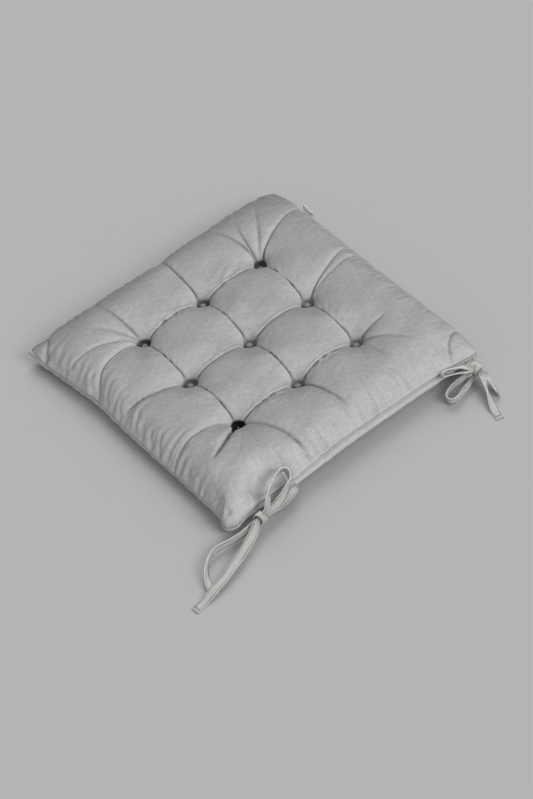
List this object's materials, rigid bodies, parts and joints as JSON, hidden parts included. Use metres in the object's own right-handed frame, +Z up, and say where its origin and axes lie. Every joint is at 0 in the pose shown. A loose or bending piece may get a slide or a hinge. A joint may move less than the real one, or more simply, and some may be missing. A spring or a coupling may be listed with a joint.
{
  "type": "chair seat pad",
  "caption": "Square quilted velvet seat pad with button tufts and tie tapes that bow round a chair's back posts.",
  "frame": {"origin": "middle of the underside, on the surface that the pad rests on", "axes": "+Z up; +Y towards the edge with the ties, which is the back of the seat; +X towards the sitter's left"},
  "size_m": [0.4901, 0.4866, 0.05],
  "materials": {
    "cover_velvet": "light grey short-pile velvet",
    "tie_velvet": "light grey velvet tape, topstitched",
    "filling": "white polyester fibre",
    "button": "velvet-covered button",
    "thread": "grey sewing thread",
    "label": "white satin ribbon, blank"
  },
  "bodies": {
    "pad": {"top_cover": "cover_velvet", "bottom_cover": "cover_velvet", "fibre_filling": "filling", "seam_stitching": "thread", "care_label": "label", "tuft_button_top_1": "button", "tuft_button_top_2": "button", "tuft_button_top_3": "button", "tuft_button_top_4": "button", "tuft_button_top_5": "button", "tuft_button_top_6": "button", "tuft_button_top_7": "button", "tuft_button_top_8": "button", "tuft_button_top_9": "button", "tuft_button_bottom_1": "button", "tuft_button_bottom_2": "button", "tuft_button_bottom_3": "button", "tuft_button_bottom_4": "button", "tuft_button_bottom_5": "button", "tuft_button_bottom_6": "button", "tuft_button_bottom_7": "button", "tuft_button_bottom_8": "button", "tuft_button_bottom_9": "button", "tuft_thread_1": "thread", "tuft_thread_2": "thread", "tuft_thread_3": "thread", "tuft_thread_4": "thread", "tuft_thread_5": "thread", "tuft_thread_6": "thread", "tuft_thread_7": "thread", "tuft_thread_8": "thread", "tuft_thread_9": "thread"},
    "left_bow": {"left_knot": "tie_velvet", "left_lead_a": "tie_velvet", "left_lead_b": "tie_velvet", "left_loop": "tie_velvet", "left_tail_a": "tie_velvet", "left_tail_b": "tie_velvet"},
    "right_bow": {"right_knot": "tie_velvet", "right_lead_a": "tie_velvet", "right_lead_b": "tie_velvet", "right_loop_a": "tie_velvet", "right_loop_b": "tie_velvet", "right_tail_a": "tie_velvet", "right_tail_b": "tie_velvet"}
  },
  "joints": [
    {"name": "left_bow_swing", "type": "hinge", "parent": "pad", "child": "left_bow", "pos_m": [0.104, 0.196, 0.015], "axis": [0, 0, 1], "range_deg": [0, 25]},
    {"name": "right_bow_swing", "type": "hinge", "parent": "pad", "child": "right_bow", "pos_m": [-0.179, 0.199, 0.015], "axis": [0, 0, 1], "range_deg": [0, 25]}
  ]
}
